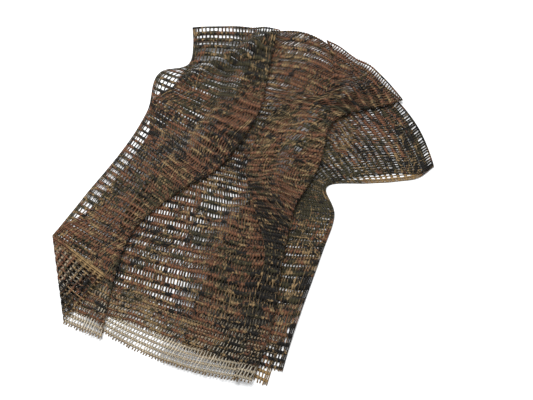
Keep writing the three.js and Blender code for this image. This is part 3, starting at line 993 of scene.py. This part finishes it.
def band_slip(net, size, u, t, x, y):
    """Slip of the upper half's bands against the lower's, in band pitches.

    It is each strip's own slip with a slow sway, half a pitch beside the closed lines, and what makes up for
    the uneven cut ends, so that no slip means open gaps.
    """
    upper = ease((t - net.fold - SLIP_START) / SLIP_RUN)
    slow = sway(u, t, size.seed + 7, *SLIP_WAVES)
    moved = upper * (per_column(HALF_SLIP) + per_column(SLIP_SWAY) * slow)
    closed = beside_lines(CLOSED, x, y).max(-1) * ease((t - net.fold) / CLOSED_RUN)
    moved = moved + (SLIP_CLOSED - moved) * closed
    rise = 1 - np.abs(t - net.fold) / net.half
    return moved + upper * (upper_shift(rise) - lower_shift(rise)) * net.half / size.band_pitch


class VEIL_OT_bands(bpy.types.Operator):
    """Solid bands across the ladder net"""

    bl_idname = "veil.bands"
    bl_label = "Bands"

    def execute(self, context):
        size = context.scene.veil_net
        net = Net(size.width, size.length)
        rng = np.random.default_rng(size.seed + 10)
        below = int((net.fold - size.band_width / 2) / size.band_pitch)
        above = int((net.length - net.fold - size.band_width / 2) / size.band_pitch)
        even = net.fold + np.arange(-below, above + 1) * size.band_pitch
        t = np.broadcast_to(even[:, None], (len(even), net.u.shape[1]))
        points, _, u = net.at_rows(t)
        x, y = points[..., 0] / MM + CENTRE[0], points[..., 1] / MM + CENTRE[1]
        moved = band_slip(net, size, u, t, x, y)
        t = t + size.band_pitch * moved * ease((net.length - t) / SLIP_END)
        t = t + size.swirl * gathered(x, y) * sway(u, t, size.seed + 5, *SWIRL_WAVES)
        t = t + size.unevenness * sway(u, t, size.seed + 3, *BAND_WAVES)
        t = t + rng.normal(0, BAND_JITTER, (len(even), 1))
        half = size.band_width / 2 * (1 + BAND_WIDTH_SWAY * sway(u, t, size.seed + 4, *BAND_WIDTH_WAVES))
        low, high = net.at_rows(t - half)[0], net.at_rows(t + half)[0]
        middle, away, u = net.at_rows(t)
        rings = lens_rings(low, middle, high, away, np.full(t.shape, size.band_thickness))
        plain = context.scene.veil_print.ochre
        material = yarn_material("band yarn", plain, BAND_THROUGH, context.scene)
        mesh = strands_mesh("veil_bands", rings, cloth_coordinates(u, t, 0.0, half))
        bands = add_piece("veil_bands", mesh, material)
        return {"FINISHED"}


class VEIL_OT_stage(bpy.types.Operator):
    """Pale floor, soft light and the camera"""

    bl_idname = "veil.stage"
    bl_label = "Stage"

    def execute(self, context):
        scene, stage = context.scene, context.scene.veil_stage
        corner = np.array([(-1, -1, 0), (1, -1, 0), (1, 1, 0), (-1, 1, 0)]) * FLOOR_REACH
        floor_mesh = bpy.data.meshes.new("floor")
        floor_mesh.from_pydata(corner.tolist(), [], [(0, 1, 2, 3)])
        floor = bpy.data.objects.new("floor", floor_mesh)
        scene.collection.objects.link(floor)
        paint = bpy.data.materials.new("pale floor")
        paint.use_nodes = True
        surface = paint.node_tree.nodes["Principled BSDF"]
        surface.inputs["Base Color"].default_value = (*stage.floor_colour, 1.0)
        surface.inputs["Roughness"].default_value = 0.9
        surface.inputs["Specular IOR Level"].default_value = 0.1
        floor_mesh.materials.append(paint)
        world = bpy.data.worlds.new("room")
        world.use_nodes = True
        world.node_tree.nodes["Background"].inputs[0].default_value = (1.0, 1.0, 1.0, 1.0)
        world.node_tree.nodes["Background"].inputs[1].default_value = stage.sky
        scene.world = world
        light = bpy.data.lights.new("key", "AREA")
        light.shape, light.size, light.energy = "DISK", KEY_SIZE, stage.key_power
        key = bpy.data.objects.new("key", light)
        key.location = KEY_AT
        key.rotation_euler = KEY_TURN
        scene.collection.objects.link(key)
        camera = bpy.data.objects.new("camera", bpy.data.cameras.new("camera"))
        camera.data.sensor_width = SENSOR_WIDTH
        camera.data.sensor_fit = "HORIZONTAL"
        camera.data.lens = stage.lens
        back = (0.0, -math.cos(stage.elevation), math.sin(stage.elevation))
        camera.location = [at + stage.distance * way for at, way in zip(stage.look_at, back)]
        camera.rotation_euler = (math.pi / 2 - stage.elevation, 0.0, 0.0)
        scene.collection.objects.link(camera)
        scene.camera = camera
        scene.view_settings.view_transform = "Standard"
        return {"FINISHED"}


class VEIL_PT_sidebar(bpy.types.Panel):
    """Sizes, colours and steps of the veil"""

    bl_idname = "VEIL_PT_sidebar"
    bl_label = "Net veil"
    bl_space_type = "VIEW_3D"
    bl_region_type = "UI"
    bl_category = "Veil"

    def draw(self, context):
        for group in (context.scene.veil_net, context.scene.veil_print, context.scene.veil_stage):
            box = self.layout.box()
            for name in group.__annotations__:
                box.prop(group, name)
        for operator in OPERATORS:
            self.layout.operator(operator.bl_idname)


GROUPS = {"veil_net": VeilNetSettings, "veil_print": VeilPrintSettings, "veil_stage": VeilStageSettings}
OPERATORS = (VEIL_OT_selvedges, VEIL_OT_bars, VEIL_OT_bands, VEIL_OT_stage)
CLASSES = (*GROUPS.values(), *OPERATORS, VEIL_PT_sidebar)


def register():
    for item in CLASSES:
        bpy.utils.register_class(item)
    for name, group in GROUPS.items():
        setattr(bpy.types.Scene, name, PointerProperty(type=group))


def unregister():
    for name in GROUPS:
        delattr(bpy.types.Scene, name)
    for item in reversed(CLASSES):
        bpy.utils.unregister_class(item)


def main():
    register()
    bpy.ops.veil.selvedges()
    bpy.ops.veil.bars()
    bpy.ops.veil.bands()
    bpy.ops.veil.stage()


if __name__ == "__main__":
    main()
